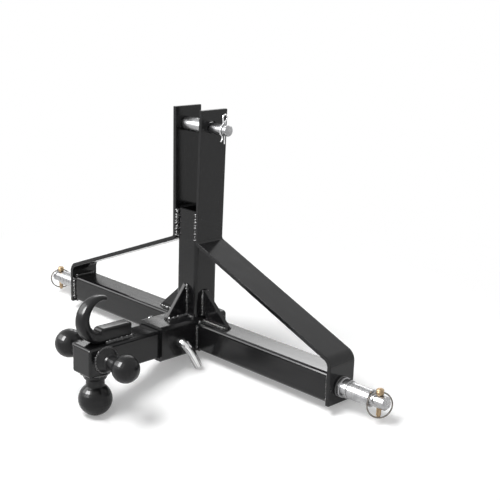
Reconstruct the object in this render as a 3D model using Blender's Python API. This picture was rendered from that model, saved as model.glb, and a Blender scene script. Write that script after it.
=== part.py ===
"""Three point hitch adapter: a welded frame that turns a tractor's lower links and
top link into a square receiver, with a three ball mount, a tow hook and its pins.

The origin is the middle of the lower link pins' axis. +X runs along the crossbar to
the right, -Y points out of the receiver's mouth and +Z is up. Lengths are in metres.
"""

from math import acos, asin, cos, pi, radians, sin, sqrt, tan

import bmesh
import bpy
from mathutils import Matrix, Vector

MM = 0.001

# Fits
SEAT_GAP = 0.3 * MM
PIN_CLEARANCE = 0.35 * MM
SHANK_CLEARANCE = 0.75 * MM

# Square tubes
BAR_SIZE = 50.8 * MM
BAR_WALL = 4.8 * MM
BAR_CORNER = 6.0 * MM
RECEIVER_WALL = 5.6 * MM
RECEIVER_LENGTH = 152.4 * MM
RECEIVER_MOUTH_Y = -107.0 * MM
RECEIVER_RISE = 2.5 * MM
RECEIVER_CORNER = 6.5 * MM
MAST_SIZE = 50.8 * MM
MAST_WALL = 4.8 * MM
MAST_TOP_Z = 228.5 * MM

# Side straps, each bent from one flat bar
SPREAD = 700.0 * MM
STRAP_WIDTH = 60.0 * MM
STRAP_THICKNESS = 7.5 * MM
STRAP_EDGE = 0.8 * MM
EAR_TOP_Z = 407.5 * MM
EAR_BEND_Z = 172.8 * MM
EAR_SPLAY = radians(1.0)
EAR_BEND_RADIUS = 6.0 * MM
END_BEND_Z = 47.3 * MM
END_BEND_RADIUS = 12.5 * MM
END_BOTTOM_Z = -28.0 * MM

# Gussets
GUSSET_THICKNESS = 8.0 * MM
GUSSET_NOSE = 3.5 * MM
FRONT_GUSSET_REACH = 45.5 * MM
FRONT_GUSSET_HEIGHT = 58.5 * MM
SIDE_GUSSET_REACH = 64.3 * MM
SIDE_GUSSET_TOP_Z = 83.0 * MM
SIDE_GUSSET_Y = -3.0 * MM

# Ball mount
SHANK_SIZE = 50.8 * MM
SHANK_WALL = 6.35 * MM
SHANK_CORNER = 5.0 * MM
SHANK_BORE_CORNER = 1.5 * MM
SHANK_EDGE = 4.5 * MM
SHANK_FRONT_Y = -256.5 * MM
SHANK_REAR_Y = 18.0 * MM
BOTTOM_BALL_Y = -227.5 * MM
SIDE_BALLS_Y = -224.0 * MM
SIDE_BALLS_RISE = 1.8 * MM
BOTTOM_BALL_DIAMETER = 58.7 * MM
RIGHT_BALL_DIAMETER = 47.6 * MM
LEFT_BALL_DIAMETER = 50.8 * MM
BOTTOM_BALL_ARM = 75.0 * MM
SIDE_BALL_ARM = 78.5 * MM
BOTTOM_NECK_DIAMETER = 32.0 * MM
SIDE_NECK_DIAMETER = 25.0 * MM
BOTTOM_FLANGE_DIAMETER = 47.0 * MM
SIDE_FLANGE_DIAMETER = 43.0 * MM
FLANGE_RIM = 2.5 * MM
FLANGE_CONE = 11.0 * MM
NECK_FILLET = 3.0 * MM

# Tow hook
HOOK_WIDTH = 24.0 * MM
HOOK_POINT_WIDTH = 9.6 * MM
HOOK_OUTER_RADIUS = 41.0 * MM
HOOK_INNER_RADIUS = 27.4 * MM
HOOK_INNER_SHIFT = 4.6 * MM
HOOK_Y = -221.0 * MM
HOOK_POINT = radians(66.0)
HOOK_OUTER_END = radians(268.0)
HOOK_INNER_END = radians(257.0)
HOOK_SWELL = 0.52
HOOK_CORNER = 4.5 * MM
HOOK_CORNER_SHARE = 0.45
HOOK_POINT_ROUND = 3.0 * MM
HOOK_BLOCK_HEIGHT = 25.0 * MM
HOOK_BLOCK_REAR_Y = -157.0 * MM
HOOK_SHOULDER = 7.5 * MM

# Hitch pin
HITCH_PIN_DIAMETER = 15.9 * MM
HITCH_PIN_Y = -70.5 * MM
HITCH_PIN_BEND = 16.0 * MM
HITCH_PIN_STANDOFF = 8.0 * MM
HITCH_PIN_HANDLE = 55.5 * MM
HITCH_PIN_TAIL = 22.0 * MM
HITCH_PIN_LEAN = radians(31.0)
HITCH_CLIP_INSET = 9.0 * MM

# Top link pin
TOP_PIN_DIAMETER = 19.05 * MM
TOP_PIN_Y = -5.0 * MM
TOP_PIN_DROP = 30.8 * MM
TOP_PIN_OVERHANG = 42.0 * MM
TOP_PIN_CHAMFER = 1.2 * MM
TOP_PIN_HEAD_DIAMETER = 28.0 * MM
TOP_PIN_HEAD = 8.0 * MM
TOP_CLIP_INSET = 11.0 * MM
EAR_HOLE_DIAMETER = 22.2 * MM
TOP_BUSHING_DIAMETER = 25.4 * MM
TOP_BUSHING_END_PLAY = 1.0 * MM

# Lower link pins
LOWER_PIN_DIAMETER = 22.2 * MM
LOWER_PIN_REACH = 94.0 * MM
LOWER_PIN_STUB = 12.0 * MM
COLLAR_STANDOFF = 3.4 * MM
COLLAR_FLANGE_DIAMETER = 34.0 * MM
COLLAR_FLANGE = 4.2 * MM
COLLAR_DIAMETER = 31.0 * MM
COLLAR_LENGTH = 12.4 * MM
LOWER_BUSHING_DIAMETER = 28.6 * MM
LOWER_BUSHING_LENGTH = 43.0 * MM
LOWER_PIN_CHAMFER = 4.1 * MM
PIN_CHAMFER = 2.0 * MM

# Linch pins and their rings
LINCH_INSET = 17.0 * MM
LINCH_SHANK_DIAMETER = 8.0 * MM
LINCH_TIP_REACH = 0.4 * MM
LINCH_TIP_EDGE = 0.8 * MM
LINCH_NOSE_DIAMETER = 6.2 * MM
LINCH_NOSE_PLAY = 0.5 * MM
LINCH_HEAD_DIAMETER = 12.8 * MM
LINCH_HEAD_HEIGHT = 10.6 * MM
LINCH_HEAD_DOME = 3.4 * MM
LINCH_HEAD_GROOVE = 0.8 * MM
LINCH_HINGE_HEIGHT = 2.7 * MM
RING_RADIUS = 20.6 * MM
RING_WIRE = 2.6 * MM
RING_START = 6.6 * MM
RING_STUB_END = 2.0 * MM
RING_TURN = radians(55.0)
RING_TILT = radians(7.2)

# Spring clips
CLIP_WIRE = 2.3 * MM
CLIP_LOOP_RADIUS = 5.0 * MM
CLIP_LOOP_SHIFT = 0.5 * MM
CLIP_LOOP_HEIGHT = 12.4 * MM
CLIP_LOOP_LEAN = radians(12.0)
CLIP_LEG_RISE = 3.0 * MM
CLIP_NECK = 3.9 * MM
CLIP_NECK_HEIGHT = 2.5 * MM
CLIP_LEG = 13.8 * MM
CLIP_WAVE_ARC = radians(96.0)
CLIP_WAIST = 5.4 * MM
CLIP_WAIST_DROP = 3.0 * MM
CLIP_TIP = 9.0 * MM
CLIP_TIP_DROP = 9.6 * MM

# Facets
ROUND_STEPS = 32
BALL_STEPS = 36
BALL_ARC_STEPS = 13
PIN_SIDES = 20
LINCH_SIDES = 24
RING_STEPS = 36
CLIP_BOW_STEPS = 10
CLIP_RUN_STEPS = 5
WIRE_ROUNDING = 2
SMOOTH_LIMIT = radians(35)
SHARP_EDGE = radians(50)
MERGE_DISTANCE = 1e-6
CORNER_STEPS = 4
BEND_STEPS = 8
HOOK_STEPS = 20

# Worked out from the sizes above
BAR_HALF = BAR_SIZE / 2
MAST_HALF = MAST_SIZE / 2
SHANK_HALF = SHANK_SIZE / 2
RECEIVER_HALF = SHANK_HALF + SHANK_CLEARANCE + RECEIVER_WALL
RECEIVER_TOP_Z = RECEIVER_RISE + RECEIVER_HALF
SHANK_Z = RECEIVER_RISE - SHANK_CLEARANCE + SEAT_GAP
SHANK_TOP_Z = SHANK_Z + SHANK_HALF
PLATE_OUTER_X = SPREAD / 2
PLATE_INNER_X = PLATE_OUTER_X - STRAP_THICKNESS
HITCH_PIN_RADIUS = HITCH_PIN_DIAMETER / 2
TOP_PIN_RADIUS = TOP_PIN_DIAMETER / 2
TOP_PIN_Z = EAR_TOP_Z - TOP_PIN_DROP
LOWER_PIN_RADIUS = LOWER_PIN_DIAMETER / 2
EAR_HOLE_Z = TOP_PIN_Z + EAR_HOLE_DIAMETER / 2 - TOP_PIN_RADIUS - SEAT_GAP
EAR_INNER_X = MAST_HALF + SEAT_GAP + (TOP_PIN_Z - EAR_BEND_Z) * tan(EAR_SPLAY)
EAR_OUTER_X = EAR_INNER_X + STRAP_THICKNESS / cos(EAR_SPLAY)
TOP_PIN_END_X = EAR_OUTER_X + TOP_PIN_OVERHANG
CLIP_HOLE_RADIUS = CLIP_WIRE / 2 + SEAT_GAP
LINCH_X = PLATE_OUTER_X + LOWER_PIN_REACH - LINCH_INSET
LINCH_HEAD_Z = LOWER_PIN_RADIUS + SEAT_GAP
LINCH_HINGE_Z = LINCH_HEAD_Z + LINCH_HINGE_HEIGHT
RING_CENTRE_DROP = sqrt(RING_RADIUS ** 2 - RING_START ** 2)
RING_BOTTOM_Z = LINCH_HINGE_Z - (RING_CENTRE_DROP + RING_RADIUS) * cos(RING_TILT)
LINCH_TIP_Z = RING_BOTTOM_Z - RING_WIRE / 2 - LINCH_TIP_REACH


def clear_scene():
    for item in list(bpy.data.objects):
        bpy.data.objects.remove(item, do_unlink=True)


def make_material(name, color, roughness, metallic):
    material = bpy.data.materials.new(name)
    material.use_nodes = True
    shader = material.node_tree.nodes["Principled BSDF"]
    shader.inputs["Base Color"].default_value = (*color, 1.0)
    shader.inputs["Roughness"].default_value = roughness
    shader.inputs["Metallic"].default_value = metallic
    return material


def black_paint(name):
    return make_material(name + "_paint", (0.022, 0.022, 0.024), 0.32, 0.0)


def ball_coat(name):
    return make_material(name + "_black_coat", (0.03, 0.03, 0.032), 0.22, 0.0)


def zinc_plate(name):
    return make_material(name + "_zinc", (0.72, 0.73, 0.74), 0.25, 1.0)


def yellow_zinc(name):
    return make_material(name + "_yellow_zinc", (0.66, 0.52, 0.28), 0.35, 1.0)


def spring_steel(name):
    return make_material(name + "_spring_steel", (0.24, 0.23, 0.22), 0.4, 1.0)


def add_object(name, bm, material, location=(0, 0, 0)):
    """Closes a bmesh into a named object with its faces pointing out."""
    bmesh.ops.remove_doubles(bm, verts=bm.verts, dist=MERGE_DISTANCE)
    bmesh.ops.recalc_face_normals(bm, faces=bm.faces)
    mesh = bpy.data.meshes.new(name)
    bm.to_mesh(mesh)
    bm.free()
    item = bpy.data.objects.new(name, mesh)
    item.location = location
    bpy.context.scene.collection.objects.link(item)
    if material:
        mesh.materials.append(material)
    return item


def shade_round(item):
    item.data.shade_smooth()
    item.data.set_sharp_from_angle(angle=SMOOTH_LIMIT)


def add_bevel(item, width):
    """Breaks the sharp edges of a flat piece with a small chamfer."""
    bevel = item.modifiers.new("edges", "BEVEL")
    bevel.width = width
    bevel.segments = 1
    bevel.limit_method = "ANGLE"
    bevel.angle_limit = SHARP_EDGE
    bevel.use_clamp_overlap = True


def cut(item, cutter):
    """Takes a hidden cutter's shape out of an object."""
    cutter.hide_render = True
    cutter.display_type = "WIRE"
    boolean = item.modifiers.new("cut_" + cutter.name, "BOOLEAN")
    boolean.operation = "DIFFERENCE"
    boolean.solver = "EXACT"
    boolean.object = cutter


def skin(loops, ring=False):
    """Bridges loops of equal length with quads; a ring closes on itself, else caps."""
    bm = bmesh.new()
    rows = [[bm.verts.new(point) for point in loop] for loop in loops]
    pairs = list(zip(rows, rows[1:]))
    if ring:
        pairs.append((rows[-1], rows[0]))
    count = len(rows[0])
    for low, high in pairs:
        for i in range(count):
            j = (i + 1) % count
            bm.faces.new((low[i], low[j], high[j], high[i]))
    if not ring:
        bm.faces.new(list(reversed(rows[0])))
        bm.faces.new(rows[-1])
    return bm


def axis_turn(axis):
    """Turns local +Z onto the named axis."""
    turns = {
        "+X": Matrix.Rotation(pi / 2, 4, "Y"),
        "-X": Matrix.Rotation(-pi / 2, 4, "Y"),
        "+Z": Matrix.Identity(4),
        "-Z": Matrix.Rotation(pi, 4, "X"),
    }
    return turns[axis]


def turned(name, profile, material, axis, location=(0, 0, 0), steps=ROUND_STEPS, closed=False):
    """Spins a profile of (radius, height) points round an axis."""
    bm = bmesh.new()
    verts = [bm.verts.new((radius, 0.0, height)) for radius, height in profile]
    edges = [bm.edges.new(pair) for pair in zip(verts, verts[1:])]
    if closed:
        edges.append(bm.edges.new((verts[-1], verts[0])))
    bmesh.ops.spin(
        bm,
        geom=verts + edges,
        cent=(0, 0, 0),
        axis=(0, 0, 1),
        angle=2 * pi,
        steps=steps,
        use_merge=True,
    )
    bmesh.ops.transform(bm, matrix=axis_turn(axis), verts=bm.verts)
    item = add_object(name, bm, material, location)
    shade_round(item)
    return item


def rod_cutter(name, radius, length, axis, location):
    """A plain round cutter centred on its location."""
    profile = [(0, -length / 2), (radius, -length / 2), (radius, length / 2), (0, length / 2)]
    return turned(name, profile, None, axis, location)


def rounded_rectangle(half_x, half_y, corner):
    """Points of a rectangle with round corners, in order round the middle."""
    points = []
    for quarter in range(4):
        middle = radians(45 + 90 * quarter)
        side_x = 1 if cos(middle) > 0 else -1
        side_y = 1 if sin(middle) > 0 else -1
        for step in range(CORNER_STEPS + 1):
            angle = radians(90 * quarter) + radians(90) * step / CORNER_STEPS
            x = side_x * (half_x - corner) + corner * cos(angle)
            y = side_y * (half_y - corner) + corner * sin(angle)
            points.append((x, y))
    return points


def rounded_square(half, corner):
    return rounded_rectangle(half, half, corner)


def circle(radius, sides):
    """Points of a circle, with flats rather than points on its axes."""
    angles = [2 * pi * (k + 0.5) / sides for k in range(sides)]
    return [(radius * cos(angle), radius * sin(angle)) for angle in angles]


def square_tube(name, size, wall, corner, start, end, axis, material):
    """A hollow square tube from start to end along an axis through the origin."""
    outer = rounded_square(size / 2, corner)
    inner = rounded_square(size / 2 - wall, max(corner - wall, 0.2 * corner))
    place = {
        "X": lambda u, v, w: (w, u, v),
        "Y": lambda u, v, w: (u, w, v),
        "Z": lambda u, v, w: (u, v, w),
    }[axis]
    loops = [
        [place(u, v, start) for u, v in outer],
        [place(u, v, end) for u, v in outer],
        [place(u, v, end) for u, v in inner],
        [place(u, v, start) for u, v in inner],
    ]
    item = add_object(name, skin(loops, ring=True), material)
    shade_round(item)
    return item


def sweep(points, sections, up):
    """A section for each point, carried along a path in the plane square to up."""
    up = Vector(up)
    loops = []
    for i, point in enumerate(points):
        before = Vector(points[max(i - 1, 0)])
        after = Vector(points[min(i + 1, len(points) - 1)])
        tangent = (after - before).normalized()
        across = up.cross(tangent).normalized()
        loops.append([Vector(point) + across * u + up * v for u, v in sections[i]])
    return skin(loops)


def arc(centre, radius, start, end, steps):
    """Points of an arc in a plane, both ends included."""
    points = []
    for step in range(steps + 1):
        angle = start + (end - start) * step / steps
        points.append((centre[0] + radius * cos(angle), centre[1] + radius * sin(angle)))
    return points


def bent_stations(corners, radii, steps):
    """Stations (point, normal) along a bent line whose corners are rounded."""
    stations = []
    corners = [Vector(corner) for corner in corners]
    for i, corner in enumerate(corners):
        ahead = (corners[min(i + 1, len(corners) - 1)] - corner)
        behind = (corner - corners[max(i - 1, 0)])
        if i == 0 or i == len(corners) - 1:
            along = (ahead if i == 0 else behind).normalized()
            stations.append((corner, Vector((-along.y, along.x))))
            continue
        into = behind.normalized()
        away = ahead.normalized()
        turn = into.x * away.y - into.y * away.x
        side = 1 if turn > 0 else -1
        bend = acos(max(-1.0, min(1.0, into.dot(away))))
        radius = radii[i - 1]
        first = corner - into * radius * tan(bend / 2)
        normal = Vector((-into.y, into.x))
        centre = first + normal * side * radius
        for step in range(steps + 1):
            angle = side * bend * step / steps
            spun = Matrix.Rotation(angle, 2) @ normal
            stations.append((centre - spun * side * radius, spun))
    return stations


def side_strap(side):
    """One flat bar, bent into a top link ear, a brace and an end plate."""
    name = "side_strap_" + ("right" if side > 0 else "left")
    half = STRAP_THICKNESS / 2
    ear_x = MAST_HALF + SEAT_GAP + half
    corners = [
        (ear_x + (EAR_TOP_Z - EAR_BEND_Z) * tan(EAR_SPLAY), EAR_TOP_Z),
        (ear_x, EAR_BEND_Z),
        (PLATE_OUTER_X - half, END_BEND_Z),
        (PLATE_OUTER_X - half, END_BOTTOM_Z),
    ]
    bends = [EAR_BEND_RADIUS + half, END_BEND_RADIUS + half]
    loops = []
    for point, normal in bent_stations(corners, bends, BEND_STEPS):
        near = point - normal * half
        far = point + normal * half
        loops.append([
            (side * near.x, -STRAP_WIDTH / 2, near.y),
            (side * far.x, -STRAP_WIDTH / 2, far.y),
            (side * far.x, STRAP_WIDTH / 2, far.y),
            (side * near.x, STRAP_WIDTH / 2, near.y),
        ])
    strap = add_object(name, skin(loops), black_paint(name))
    add_bevel(strap, STRAP_EDGE)
    through = 4 * STRAP_THICKNESS
    ear_place = (side * EAR_INNER_X, TOP_PIN_Y, EAR_HOLE_Z)
    cut(strap, rod_cutter(name + "_ear_hole", EAR_HOLE_DIAMETER / 2, through, "+X", ear_place))
    plate_place = (side * PLATE_OUTER_X, 0, 0)
    cut(strap, rod_cutter(name + "_plate_hole", LOWER_PIN_RADIUS + SEAT_GAP, through, "+X", plate_place))
    shade_round(strap)
    return strap


def gusset(name, outline, plane, middle):
    """A flat plate of the gussets' thickness, in the XZ or the YZ plane."""
    faces = (middle - GUSSET_THICKNESS / 2, middle + GUSSET_THICKNESS / 2)
    if plane == "XZ":
        loops = [[(u, face, v) for u, v in outline] for face in faces]
    else:
        loops = [[(face, u, v) for u, v in outline] for face in faces]
    plate = add_object(name, skin(loops), black_paint(name))
    add_bevel(plate, STRAP_EDGE)
    return plate


def gussets():
    foot = RECEIVER_TOP_Z + SEAT_GAP
    back = -MAST_HALF - SEAT_GAP
    nose = back - FRONT_GUSSET_REACH
    top = foot + FRONT_GUSSET_HEIGHT
    outline = [
        (back, foot),
        (nose, foot),
        (nose, foot + GUSSET_NOSE),
        (back - GUSSET_NOSE, top),
        (back, top),
    ]
    gusset("gusset_front", outline, "YZ", 0.0)
    for side, word in ((1, "right"), (-1, "left")):
        near = MAST_HALF + SEAT_GAP
        step = RECEIVER_HALF + SEAT_GAP
        low = BAR_HALF + SEAT_GAP
        far = near + SIDE_GUSSET_REACH
        points = [
            (near, foot),
            (step, foot),
            (step, low),
            (far, low),
            (far, low + GUSSET_NOSE),
            (near + GUSSET_NOSE, SIDE_GUSSET_TOP_Z),
            (near, SIDE_GUSSET_TOP_Z),
        ]
        gusset("gusset_" + word, [(side * u, v) for u, v in points], "XZ", SIDE_GUSSET_Y)


def receiver():
    """The square socket, with its cross hole for the hitch pin."""
    name = "receiver_tube"
    ends = (RECEIVER_MOUTH_Y, RECEIVER_MOUTH_Y + RECEIVER_LENGTH)
    sizes = (2 * RECEIVER_HALF, RECEIVER_WALL, RECEIVER_CORNER)
    tube = square_tube(name, *sizes, *ends, "Y", black_paint(name))
    tube.location.z = RECEIVER_RISE
    place = (0, HITCH_PIN_Y, RECEIVER_RISE)
    cut(tube, rod_cutter(name + "_pin_hole", HITCH_PIN_RADIUS + SEAT_GAP, 3 * RECEIVER_HALF, "+X", place))
    return tube


def crossbars():
    start = RECEIVER_HALF + SEAT_GAP
    end = PLATE_INNER_X - SEAT_GAP
    sizes = (BAR_SIZE, BAR_WALL, BAR_CORNER)
    square_tube("crossbar_right", *sizes, start, end, "X", black_paint("crossbar_right"))
    square_tube("crossbar_left", *sizes, -end, -start, "X", black_paint("crossbar_left"))


def mast():
    foot = RECEIVER_TOP_Z + SEAT_GAP
    sizes = (MAST_SIZE, MAST_WALL, BAR_CORNER)
    square_tube("mast_tube", *sizes, foot, MAST_TOP_Z, "Z", black_paint("mast_tube"))


def ball_mount_shank():
    """A square tube with a closed front end, whose edge is rounded."""
    name = "ball_mount_shank"
    outer = rounded_square(SHANK_HALF, SHANK_CORNER)
    inner = rounded_square(SHANK_HALF - SHANK_WALL, SHANK_BORE_CORNER)
    loops = []
    for advance, inset in round_off(SHANK_EDGE):
        ring = rounded_square(SHANK_HALF - inset, SHANK_CORNER - inset)
        loops.append([(u, SHANK_FRONT_Y + advance, v) for u, v in ring])
    loops.append([(u, SHANK_FRONT_Y + SHANK_EDGE, v) for u, v in outer])
    loops.append([(u, SHANK_REAR_Y, v) for u, v in outer])
    loops.append([(u, SHANK_REAR_Y, v) for u, v in inner])
    loops.append([(u, SHANK_FRONT_Y + SHANK_WALL, v) for u, v in inner])
    shank = add_object(name, skin(loops), black_paint(name), (0, 0, SHANK_Z))
    place = (0, HITCH_PIN_Y, RECEIVER_RISE)
    cut(shank, rod_cutter(name + "_pin_hole", HITCH_PIN_RADIUS + SEAT_GAP, 3 * SHANK_HALF, "+X", place))
    shade_round(shank)
    return shank


def hitch_ball(name, diameter, neck, flange, arm, axis, seat):
    """A turned ball with its neck and the flange that is welded to the shank."""
    radius = diameter / 2
    neck_radius = neck / 2
    base = SHANK_HALF + SEAT_GAP
    start = asin(neck_radius / radius)
    profile = [
        (0, base),
        (flange / 2, base),
        (flange / 2, base + FLANGE_RIM),
        (neck_radius + NECK_FILLET, base + FLANGE_CONE),
        (neck_radius + NECK_FILLET / 3, base + FLANGE_CONE + NECK_FILLET / 2),
        (neck_radius, base + FLANGE_CONE + 3 * NECK_FILLET / 2),
    ]
    for step in range(BALL_ARC_STEPS + 1):
        angle = start + (pi - start) * step / BALL_ARC_STEPS
        profile.append((radius * sin(angle), arm - radius * cos(angle)))
    profile[-1] = (0, arm + radius)
    return turned(name, profile, ball_coat(name), axis, seat, BALL_STEPS)


def balls():
    seat = (0, SIDE_BALLS_Y, SHANK_Z + SIDE_BALLS_RISE)
    sides = (SIDE_NECK_DIAMETER, SIDE_FLANGE_DIAMETER, SIDE_BALL_ARM)
    hitch_ball("ball_right", RIGHT_BALL_DIAMETER, *sides, "+X", seat)
    hitch_ball("ball_left", LEFT_BALL_DIAMETER, *sides, "-X", seat)
    below = (BOTTOM_NECK_DIAMETER, BOTTOM_FLANGE_DIAMETER, BOTTOM_BALL_ARM)
    hitch_ball("ball_bottom", BOTTOM_BALL_DIAMETER, *below, "-Z", (0, BOTTOM_BALL_Y, SHANK_Z))


def hook_section(outer, inner, half_width, inset=0.0):
    """A rounded rectangle from the hook's outer line to its inner one."""
    middle = (outer + inner) / 2
    reach = (inner - outer) / 2
    half_depth = reach.length
    corner = min(HOOK_CORNER, HOOK_CORNER_SHARE * half_depth)
    shape = rounded_rectangle(half_depth - inset, half_width - inset, max(corner - inset, corner / 4))
    return [middle + reach.normalized() * u + Vector((v, 0, 0)) for u, v in shape]


def round_off(radius):
    """Steps (advance, inset) of a quarter round, from a flat end outwards."""
    angles = [pi / 2 * step / CORNER_STEPS for step in range(CORNER_STEPS)]
    return [(radius * (1 - cos(angle)), radius * (1 - sin(angle))) for angle in angles]


def tow_hook():
    """A forged crescent hook whose heel runs on into the block that is welded down."""
    foot = SHANK_TOP_Z + SEAT_GAP
    outer_z = foot + HOOK_OUTER_RADIUS
    inner_z = outer_z + HOOK_INNER_SHIFT
    inner_y = HOOK_Y + HOOK_INNER_SHIFT
    full = HOOK_WIDTH / 2
    point = HOOK_POINT_WIDTH / 2
    length = HOOK_OUTER_RADIUS * (HOOK_OUTER_END - HOOK_POINT)

    def on_circle(y, z, radius, angle):
        return Vector((0, y + radius * cos(angle), z + radius * sin(angle)))

    def arm(share, inset=0.0):
        outer_turn = HOOK_POINT + (HOOK_OUTER_END - HOOK_POINT) * share
        inner_turn = HOOK_POINT + (HOOK_INNER_END - HOOK_POINT) * share
        outer = on_circle(HOOK_Y, outer_z, HOOK_OUTER_RADIUS, outer_turn)
        inner = on_circle(inner_y, inner_z, HOOK_INNER_RADIUS, inner_turn)
        half_width = point + (full - point) * sin(min(1.0, share / HOOK_SWELL) * pi / 2)
        return hook_section(outer, inner, half_width, inset)

    def block(y, top, inset=0.0):
        return hook_section(Vector((0, y, foot)), Vector((0, y, top)), full, inset)

    loops = [arm(advance / length, inset) for advance, inset in round_off(HOOK_POINT_ROUND)]
    first = HOOK_POINT_ROUND / length
    loops += [arm(first + (1 - first) * step / HOOK_STEPS) for step in range(HOOK_STEPS + 1)]
    heel = on_circle(inner_y, inner_z, HOOK_INNER_RADIUS, HOOK_INNER_END)
    top = foot + HOOK_BLOCK_HEIGHT
    for step in range(1, BEND_STEPS + 1):
        turn = pi / 2 * step / BEND_STEPS
        loops.append(block(heel.y + HOOK_SHOULDER * (1 - cos(turn)), heel.z + (top - heel.z) * sin(turn)))
    loops.append(block(HOOK_BLOCK_REAR_Y - HOOK_CORNER, top))
    for advance, inset in reversed(round_off(HOOK_CORNER)):
        loops.append(block(HOOK_BLOCK_REAR_Y - advance, top, inset))
    hook = add_object("tow_hook", skin(loops), black_paint("tow_hook"))
    shade_round(hook)
    return hook


def hitch_pin():
    """A bent pin whose handle hangs beside the receiver."""
    name = "hitch_pin"
    out_x = RECEIVER_HALF + HITCH_PIN_STANDOFF
    tail_x = -RECEIVER_HALF - HITCH_PIN_TAIL
    chamfer = PIN_CHAMFER
    path = [(tail_x, 0), (tail_x + chamfer, 0)]
    path += [(tail_x + chamfer + (out_x - tail_x - chamfer) * k / 3, 0) for k in (1, 2)]
    path += arc((out_x, -HITCH_PIN_BEND), HITCH_PIN_BEND, pi / 2, 0, BEND_STEPS)
    leg_x = out_x + HITCH_PIN_BEND
    path += [(leg_x, -HITCH_PIN_HANDLE + chamfer), (leg_x, -HITCH_PIN_HANDLE)]
    points = [(x, 0, z) for x, z in path]
    sections = [circle(HITCH_PIN_RADIUS, PIN_SIDES)] * len(points)
    sections[0] = circle(HITCH_PIN_RADIUS - chamfer, PIN_SIDES)
    sections[-1] = sections[0]
    bm = sweep(points, sections, (0, 1, 0))
    bmesh.ops.rotate(bm, verts=bm.verts, cent=(0, 0, 0), matrix=Matrix.Rotation(HITCH_PIN_LEAN, 3, "X"))
    pin = add_object(name, bm, zinc_plate(name), (0, HITCH_PIN_Y, RECEIVER_RISE))
    clip_place = (tail_x + HITCH_CLIP_INSET, HITCH_PIN_Y, RECEIVER_RISE)
    cut(pin, rod_cutter(name + "_clip_hole", CLIP_HOLE_RADIUS, 2 * HITCH_PIN_DIAMETER, "+Z", clip_place))
    shade_round(pin)
    spring_clip("hitch_pin_clip", HITCH_PIN_RADIUS, clip_place)


def wire(name, points, diameter, material, location, turn=0.0, tilt=0.0):
    """A bent wire, as a curve with a round bevel and filled ends."""
    curve = bpy.data.curves.new(name, "CURVE")
    curve.dimensions = "3D"
    curve.bevel_depth = diameter / 2
    curve.bevel_resolution = WIRE_ROUNDING
    curve.use_fill_caps = True
    spline = curve.splines.new("POLY")
    spline.points.add(len(points) - 1)
    for target, point in zip(spline.points, points):
        target.co = (*point, 1.0)
    curve.materials.append(material)
    item = bpy.data.objects.new(name, curve)
    item.location = location
    item.rotation_euler = (tilt, 0, turn)
    bpy.context.scene.collection.objects.link(item)
    return item


def smooth_run(start, start_slope, end, end_slope, steps):
    """Points between two places on a cubic, without the first."""
    points = []
    for step in range(1, steps + 1):
        t = step / steps
        weights = (
            2 * t ** 3 - 3 * t ** 2 + 1,
            t ** 3 - 2 * t ** 2 + t,
            3 * t ** 2 - 2 * t ** 3,
            t ** 3 - t ** 2,
        )
        items = (start, start_slope, end, end_slope)
        points.append(tuple(sum(w * item[k] for w, item in zip(weights, items)) for k in (0, 1)))
    return points


def spring_clip(name, pin_radius, location):
    """A clip whose straight leg crosses the pin and whose waved leg grips its side."""
    grip = pin_radius + SEAT_GAP + CLIP_WIRE / 2
    turn = CLIP_WAVE_ARC / 2
    loop = (CLIP_LOOP_SHIFT, pin_radius + CLIP_LOOP_HEIGHT)
    into_loop = (CLIP_LOOP_HEIGHT * sin(CLIP_LOOP_LEAN), CLIP_LOOP_HEIGHT * cos(CLIP_LOOP_LEAN))
    out_of_loop = (-into_loop[0], -into_loop[1])
    neck = (-CLIP_NECK, pin_radius + CLIP_NECK_HEIGHT)
    wave = arc((0, 0), grip, pi - turn, pi + turn, CLIP_BOW_STEPS)
    into_wave = (-grip * sin(turn), -grip * cos(turn))
    out_of_wave = (grip * sin(turn), -grip * cos(turn))
    waist = (-CLIP_WAIST, -pin_radius - CLIP_WAIST_DROP)
    tip = (-CLIP_TIP, -pin_radius - CLIP_TIP_DROP)
    path = [(0, -pin_radius - CLIP_LEG), (0, -pin_radius), (0, 0), (0, pin_radius + CLIP_LEG_RISE)]
    bow = arc(loop, CLIP_LOOP_RADIUS, -CLIP_LOOP_LEAN, pi - CLIP_LOOP_LEAN, CLIP_BOW_STEPS)
    path += smooth_run(path[-1], (0, CLIP_LOOP_HEIGHT), bow[0], into_loop, CLIP_RUN_STEPS)
    path += bow[1:]
    path += smooth_run(path[-1], out_of_loop, neck, (0, -CLIP_LOOP_HEIGHT), CLIP_RUN_STEPS)
    path += smooth_run(neck, (0, -CLIP_NECK), wave[0], into_wave, CLIP_RUN_STEPS)
    path += wave[1:]
    path += smooth_run(wave[-1], out_of_wave, waist, (0, -CLIP_TIP_DROP), CLIP_RUN_STEPS)
    path += smooth_run(waist, (0, -CLIP_TIP_DROP), tip, (-CLIP_TIP_DROP, -CLIP_TIP_DROP), CLIP_RUN_STEPS)
    points = [(0, y, z) for y, z in path]
    return wire(name, points, CLIP_WIRE, zinc_plate(name), location)


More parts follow.
